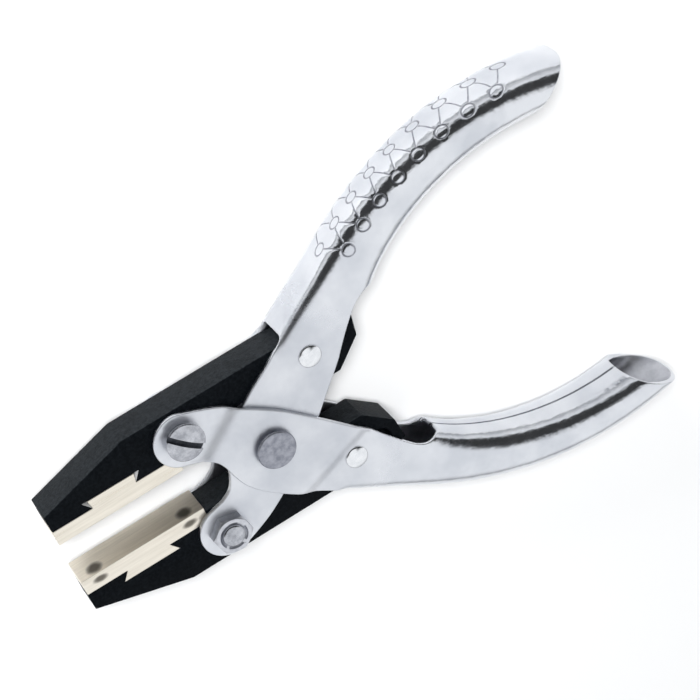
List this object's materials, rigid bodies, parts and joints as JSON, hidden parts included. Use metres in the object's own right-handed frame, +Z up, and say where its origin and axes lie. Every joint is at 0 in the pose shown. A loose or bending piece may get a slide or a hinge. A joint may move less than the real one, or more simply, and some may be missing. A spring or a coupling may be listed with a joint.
{
  "type": "parallel-action pliers",
  "caption": "Parallel-action pliers with hollow pressed-steel handles, flat black jaws and replaceable gripping bars held in dovetails.",
  "frame": {"origin": "on the axis of the main rivet, in the flat face of its back head, which lies in the plane of the bench", "axes": "+X from the jaws towards the handles, +Y from the lower jaw towards the upper jaw, +Z up through the thickness of the pliers, which lie on their back"},
  "size_m": [0.1407, 0.0943, 0.0172],
  "materials": {
    "handle_steel": "satin nickel plate, lightly brushed",
    "jaw_black": "black oxide, fine grain",
    "bar_steel": "ground, slightly warm",
    "rivet_steel": "dull grey",
    "screw_steel": "polished, slightly worn",
    "nut_steel": "zinc plated",
    "pin_steel": "polished with the handles"
  },
  "bodies": {
    "outer_handle": {"outer_handle": "handle_steel", "main_rivet": "rivet_steel", "pivot_spacer": "rivet_steel", "upper_front_screw": "screw_steel", "upper_front_nut": "nut_steel", "upper_front_bush": "rivet_steel", "lower_rear_pin": "pin_steel", "lower_rear_sleeve": "rivet_steel"},
    "inner_handle": {"inner_handle": "handle_steel", "lower_front_screw": "screw_steel", "lower_front_nut": "nut_steel", "lower_front_bush": "rivet_steel", "upper_rear_pin": "pin_steel", "upper_rear_sleeve": "rivet_steel"},
    "upper_jaw": {"upper_jaw": "jaw_black", "upper_bar": "bar_steel"},
    "lower_jaw": {"lower_jaw": "jaw_black", "lower_bar": "bar_steel"}
  },
  "joints": [
    {"name": "handle_pivot", "type": "hinge", "parent": "outer_handle", "child": "inner_handle", "pos_m": [0, 0, 0.0086], "axis": [0, 0, 1], "range_deg": [-34.4, 6]},
    {"name": "upper_jaw_pivot", "type": "hinge", "parent": "outer_handle", "child": "upper_jaw", "pos_m": [-0.01631, 0.01325, 0.0086], "axis": [0, 0, 1], "range_deg": [-17.2, 3]},
    {"name": "lower_jaw_pivot", "type": "hinge", "parent": "inner_handle", "child": "lower_jaw", "pos_m": [-0.01631, -0.01325, 0.0086], "axis": [0, 0, 1], "range_deg": [-3, 17.2]}
  ],
  "couplings": [
    {"joint": "upper_jaw_pivot", "follows": "handle_pivot", "ratio": 0.5},
    {"joint": "lower_jaw_pivot", "follows": "handle_pivot", "ratio": -0.5}
  ]
}
